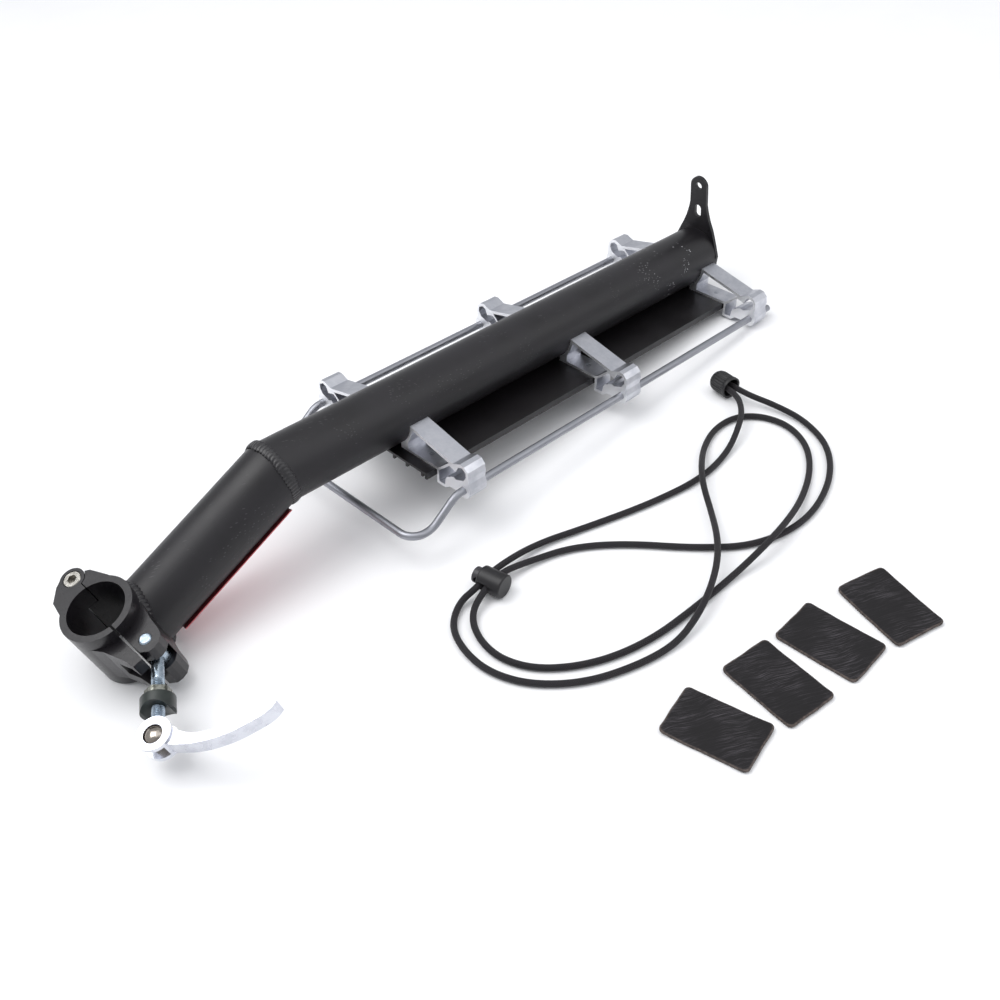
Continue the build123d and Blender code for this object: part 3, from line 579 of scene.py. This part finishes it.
class RACK_OT_bolt(bpy.types.Operator):
    """Swing bolt with its thread, nut, saddle washer and cam pivot"""

    bl_idname = "rack.bolt"
    bl_label = "Swing bolt"

    def execute(self, context):
        zinc = once("blue_zinc_plated_steel", lambda n: plated(n, "#aab7c3", "#97a5b2", 0.22))
        side, other = BORE_WAY, np.cross(BOLT_WAY, BORE_WAY)

        # A ridge wound once round the bolt in each pitch, fading out at both ends of the thread.
        t = np.linspace(BOLT_FROM, BOLT_TO, 1100)
        tt, aa = np.meshgrid(t, around(48), indexing="xy")
        wave = np.abs(((tt / sizes().thread_pitch - aa / (2 * np.pi)) % 1.0) - 0.5) * 2
        fade = (np.clip((tt - THREAD_FROM) / THREAD_RUNOUT, 0, 1)
                * np.clip((THREAD_TO - tt) / THREAD_RUNOUT, 0, 1))
        radius = BOLT_R - THREAD_DEPTH * fade * np.clip(wave * 1.25 - 0.12, 0, 1)
        radius = radius * np.minimum(1.0, 0.8 + np.minimum(t - t[0], t[-1] - t)[None, :] / BOLT_TAPER)
        points = (TRUNNION + tt[..., None] * BOLT_WAY
                  + (radius * np.cos(aa))[..., None] * side + (radius * np.sin(aa))[..., None] * other)
        bolt = grid_mesh("threaded_bolt", points, material=zinc, body="bolt", cap=True)
        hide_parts("swing_bolt")
        nut = once("dark_zinc_nut", lambda n: plated(n, "#85867f", "#55564f", 0.2))
        dress(["adjusting_nut"], nut, bevel=0.35)
        saddle = once("moulded_saddle_washer", lambda n: moulded(n, "#1c211f", "#2b322f", 0.36))
        dress(["dished_washer"], saddle, bevel=0.3)
        steel = once("polished_steel_pivot", lambda n: plated(n, "#b0a9a0", "#8f8880", 0.1, 0.2))
        # A drum whose two ends are domed.
        climb = np.linspace(0.02, np.pi / 2, 26)
        end = PIVOT_HALF - PIVOT_DOME * (1 - np.cos(climb))
        rise = PIVOT_R * np.sin(climb)
        along, reach = np.concatenate([-end, end[::-1]]), np.concatenate([rise, rise[::-1]])
        centre = TRUNNION + PIVOT_AT * BOLT_WAY
        turn = around(96)
        points = (centre + along[None, :, None] * BORE_WAY
                  + (reach[None, :] * np.cos(turn)[:, None])[..., None] * BOLT_WAY
                  + (reach[None, :] * np.sin(turn)[:, None])[..., None] * other)
        pivot = grid_mesh("domed_cam_pivot", points, material=steel, body="bolt", cap=True)
        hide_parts("cam_pivot")
        return {"FINISHED"}


class RACK_OT_lever(bpy.types.Operator):
    """Polished quick-release lever"""

    bl_idname = "rack.lever"
    bl_label = "Lever"

    def execute(self, context):
        bright = once("polished_aluminium_lever", lambda n: plated(n, "#d9dbe2", "#ced0d8", 0.2, 0.15))
        dress(["qr_lever"], bright, bevel=0.8, segments=3)
        return {"FINISHED"}


class RACK_OT_brackets(bpy.types.Operator):
    """Six extruded brackets and the bent side rail"""

    bl_idname = "rack.brackets"
    bl_label = "Brackets and rail"

    def execute(self, context):
        names = [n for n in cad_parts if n.startswith("bracket_")]
        dress(names, once("extruded_aluminium_saw_cut", extruded), bevel=0.25)
        dress(["side_rail"], once("satin_drawn_aluminium_rod", rod_metal))
        smooth(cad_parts["side_rail"])
        return {"FINISHED"}


class RACK_OT_deck(bpy.types.Operator):
    """Deck plate, its screws, the reflector plate and the red strip"""

    bl_idname = "rack.deck"
    bl_label = "Deck and plates"

    def execute(self, context):
        dress(["deck_plate"], once("black_anodised_extrusion", deck_paint), bevel=0.2)
        screw = once("plated_deck_screws", lambda n: plated(n, "#c9ccd2", "#9fa3ab", 0.3))
        dress(["deck_screws"], screw, bevel=0.3)
        plate = once("black_powder_coated_plate", lambda n: powder_coat(n, rough=0.36))
        dress(["reflector_bracket"], plate, bevel=0.4)
        dress(["red_strip"], once("red_adhesive_film", red_film))
        return {"FINISHED"}


class RACK_OT_shims(bpy.types.Operator):
    """Four loose rubber shims, a little bowed, with worn edges"""

    bl_idname = "rack.shims"
    bl_label = "Rubber shims"

    def execute(self, context):
        rubber = once("matte_rubber_scratched", shim_rubber)
        half_l, half_w = SHIM_L / 2, SHIM_W / 2

        # A rounded rectangle, taken at even steps along its outline.
        sweep = np.linspace(0, 2 * np.pi, 241)
        sweep[-1] = 0.0
        cos_t, sin_t = np.cos(sweep), np.sin(sweep)
        ring_x = np.where(cos_t > 0, 1, -1) * (half_l - SHIM_CORNER) + SHIM_CORNER * cos_t
        ring_y = np.where(sin_t >= 0, 1, -1) * (half_w - SHIM_CORNER) + SHIM_CORNER * sin_t
        run = np.concatenate([[0], np.cumsum(np.hypot(np.diff(ring_x), np.diff(ring_y)))])
        even = np.linspace(0, run[-1], len(sweep) - 1, endpoint=False)
        ox, oy = np.interp(even, run, ring_x), np.interp(even, run, ring_y)
        turn = even / run[-1] * 2 * np.pi

        # From the middle of the top out to the rim, over its rounded edge, and back underneath.
        inner = np.linspace(0.02, 0.985, 34)
        edge = [SHIM_T - 0.1, SHIM_T - 0.4, SHIM_T / 2, 0.35, 0.06]
        scales = np.concatenate([inner, [0.994, 0.999, 1.0, 0.999, 0.992], inner[::-1]])
        heights = np.concatenate([np.full(len(inner), SHIM_T), edge, np.zeros(len(inner))])
        worn = np.clip((inner - 0.955) / 0.03, 0, 1)
        wear = np.concatenate([worn, np.ones(len(edge)), np.zeros(len(inner))])
        for number, (cx, cy, heading) in enumerate(SHIMS, 1):
            seed = 1.7 * number
            ragged = 1 + 0.0045 * np.sin(5 * turn + seed) + 0.0035 * np.sin(11 * turn + 2 * seed) - 0.006
            x = ox[:, None] * ragged[:, None] * scales[None, :]
            y = oy[:, None] * ragged[:, None] * scales[None, :]
            bow = np.clip((np.abs(x) - 12) / 13.5, 0, 1) ** 2 * (0.7 + 0.3 * np.sin(seed))
            twist = 0.35 * np.clip(x * y / (half_l * half_w), 0, 1) ** 2
            lift = sizes().shim_bow / MM * (bow + twist)
            z = heights[None, :] + lift
            angle = math.radians(heading)
            px = cx + x * math.cos(angle) - y * math.sin(angle)
            py = cy + x * math.sin(angle) + y * math.cos(angle)
            points = np.stack([px, py, z], axis=-1) * MM
            piece = grid_mesh(f"rubber_shim_{number}", points, material=rubber, cap=True)
            rim = piece.data.attributes.new("edge", "FLOAT", "POINT")
            rim.data.foreach_set("value", np.tile(wear, len(even)).astype(np.float32))
            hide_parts(f"shim_{number}")
        return {"FINISHED"}


class RACK_OT_cord(bpy.types.Operator):
    """Elastic cord with its lock and ridged end cap"""

    bl_idname = "rack.cord"
    bl_label = "Elastic cord"

    def execute(self, context):
        curve = bpy.data.curves.new("elastic_cord_line", "CURVE")
        curve.dimensions = "3D"
        spline = curve.splines.new("NURBS")
        spline.points.add(len(ROUTE) - 1)
        flat = np.concatenate([np.array(ROUTE) * MM, np.ones((len(ROUTE), 1))], axis=1).ravel()
        spline.points.foreach_set("co", flat)
        spline.order_u = 3
        spline.use_endpoint_u = True
        spline.resolution_u = 10
        curve.resolution_u = 10
        curve.bevel_depth = sizes().cord_width / 2
        curve.bevel_resolution = 5
        curve.use_fill_caps = True
        cord = bpy.data.objects.new("elastic_cord_piece", curve)
        context.scene.collection.objects.link(cord)
        sheath = once("braided_black_sheath", lambda n: woven_sheath(n, CORD_LENGTH, sizes().cord_width))
        curve.materials.append(sheath)
        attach(cord, "rack")
        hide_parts("elastic_cord")

        plastic = once("moulded_black_plastic", moulded)
        dress(["cord_lock_body"], plastic, bevel=0.3)
        grey = once("moulded_grey_plunger", lambda n: moulded(n, "#2c2a2e", "#3a383d", 0.36))
        dress(["cord_lock_plunger"], grey, bevel=0.2)

        # The lock's spring: a round wire wound round the plunger's line.
        wire_metal = once("drawn_spring_wire", lambda n: plated(n, "#c8c8cc", "#9b9ba0", 0.25))
        up = np.array([0, 0, 1.0])
        way = unit(np.array([*LOCK_WAY, 0.0]))
        side = np.cross(way, up)
        base = np.array([*LOCK, LOCK_R]) * MM + way * SPRING_FROM
        coil = np.linspace(0, 2 * np.pi * SPRING_TURNS, 260)
        section = around(14)
        arm = np.cos(coil)[:, None] * side + np.sin(coil)[:, None] * up
        climb = SPRING_WIRE + coil / coil[-1] * (SPRING_L - 2 * SPRING_WIRE)
        line = base + climb[:, None] * way + SPRING_R * arm
        points = (line[:, None] + SPRING_WIRE * (np.cos(section)[None, :, None] * arm[:, None]
                                                 + np.sin(section)[None, :, None] * way))
        spring = grid_mesh("cord_lock_coil", points.swapaxes(0, 1), material=wire_metal, cap=True)
        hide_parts("cord_lock_spring")
        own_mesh(spring)

        # The cap in section, as distance from its mouth and radius: up its inside, out at the mouth, and
        # along its outside to the domed end. The ridges stand on the outside alone.
        lip = np.array([[12.4, 0.02], [12.4, 5.6], [3.0, 6.0], [0.6, 6.3], [0.0, 6.9]]) * MM
        outline = np.array([[0.0, 7.75], [2.0, 7.8], [3.0, 7.55], [4.0, 7.5], [8.0, 7.6], [11.5, 7.5],
                            [13.6, 6.9], [15.2, 5.6], [16.1, 3.8], [16.5, 1.8], [16.5, 0.02]]) * MM
        profile = np.concatenate([lip, outline])
        along = np.concatenate([[0], np.cumsum(np.linalg.norm(np.diff(profile, axis=0), axis=1))])
        fine = np.linspace(0, along[-1], 150)
        s = np.interp(fine, along, profile[:, 0])
        r = np.interp(fine, along, profile[:, 1])
        turn = around(264)
        outside = np.clip((fine - along[6]) / (1 * MM), 0, 1) * np.clip((along[-4] - fine) / (3 * MM), 0, 1)
        ridge = (0.5 + 0.5 * np.cos(sizes().cap_ridges * turn)) ** 0.6
        radius = r[None, :] - CAP_RIDGE * outside[None, :] * (1 - ridge[:, None])
        way = unit(np.array([*CAP_WAY, 0.0]))
        side = np.cross(way, up)
        centre = np.array([*CAP_MOUTH, CAP_R]) * MM
        points = (centre + s[None, :, None] * way + (radius * np.cos(turn)[:, None])[..., None] * side
                  + (radius * np.sin(turn)[:, None])[..., None] * up)
        cap = grid_mesh("ridged_end_cap", points, material=plastic, cap=True)
        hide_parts("cord_end_cap")
        return {"FINISHED"}


class RACK_OT_stage(bpy.types.Operator):
    """Pale floor, soft lights and the camera"""

    bl_idname = "rack.stage"
    bl_label = "Studio"

    def execute(self, context):
        scene = context.scene
        mesh = bpy.data.meshes.new("studio_floor")
        reach = FLOOR_HALF
        corners = [(-reach, -reach, 0), (reach, -reach, 0), (reach, reach, 0), (-reach, reach, 0)]
        mesh.from_pydata(corners, [], [(0, 1, 2, 3)])
        floor = bpy.data.objects.new("studio_floor", mesh)
        floor.location.z = -FLOOR_GAP
        scene.collection.objects.link(floor)
        paper, tree, shader = finish_material("seamless_white_paper", Roughness=0.9, Specular_IOR_Level=0.1)
        fibre = noise(tree, place(tree), 0.02, 3.0)
        wire(tree, shader, Base_Color=mix(tree, fibre, chosen("floor"), linear("#f8f8f9")))
        mesh.materials.append(paper)

        world = bpy.data.worlds.new("studio_air")
        world.use_nodes = True
        world.node_tree.nodes["Background"].inputs[0].default_value = linear("#f2f4f8")
        world.node_tree.nodes["Background"].inputs[1].default_value = 0.7
        scene.world = world
        for name, at, size, power, aim in SOFTBOXES:
            lamp = bpy.data.lights.new(name, "AREA")
            lamp.shape = "SQUARE"
            lamp.size = size
            lamp.energy = power
            light = bpy.data.objects.new(name, lamp)
            light.location = at
            light.rotation_euler = (Vector(aim) - Vector(at)).to_track_quat("-Z", "Y").to_euler()
            scene.collection.objects.link(light)

        camera = bpy.data.cameras.new("studio_camera")
        camera.lens = CAMERA_LENS
        camera.sensor_width = 36.0
        camera.dof.use_dof = False
        eye = bpy.data.objects.new("studio_camera", camera)
        back = -Vector(CAMERA_LOOK).normalized()
        right = Vector(CAMERA_RIGHT).normalized()
        up = back.cross(right)
        turned = Matrix((right, up, back)).transposed().to_4x4()
        eye.matrix_world = Matrix.Translation(CAMERA_AT) @ turned
        scene.collection.objects.link(eye)
        scene.camera = eye
        scene.view_settings.view_transform = "Standard"
        return {"FINISHED"}


OPERATORS = (RACK_OT_tubes, RACK_OT_clamp, RACK_OT_bolt, RACK_OT_lever, RACK_OT_brackets, RACK_OT_deck,
             RACK_OT_shims, RACK_OT_cord, RACK_OT_stage)


class RACK_PT_panel(bpy.types.Panel):
    """Lists the rack's pieces and settings"""

    bl_idname = "RACK_PT_panel"
    bl_label = "Seat-post rack"
    bl_space_type = "VIEW_3D"
    bl_region_type = "UI"
    bl_category = "Rack"

    def draw(self, context):
        for operator in OPERATORS:
            self.layout.operator(operator.bl_idname)
        for group in (context.scene.rack_sizes, context.scene.rack_colours):
            for key in group.__annotations__:
                self.layout.prop(group, key)


CLASSES = (RackSizes, RackColours, *OPERATORS, RACK_PT_panel)


def register():
    """Add the classes and their settings."""
    for cls in CLASSES:
        bpy.utils.register_class(cls)
    bpy.types.Scene.rack_sizes = PointerProperty(type=RackSizes)
    bpy.types.Scene.rack_colours = PointerProperty(type=RackColours)


def unregister():
    """Take the classes and their settings away."""
    del bpy.types.Scene.rack_colours
    del bpy.types.Scene.rack_sizes
    for cls in reversed(CLASSES):
        bpy.utils.unregister_class(cls)


def main():
    """Register the settings, then dress every piece in order."""
    register()
    for operator in OPERATORS:
        group, name = operator.bl_idname.split(".")
        getattr(getattr(bpy.ops, group), name)()


if __name__ == "__main__":
    main()
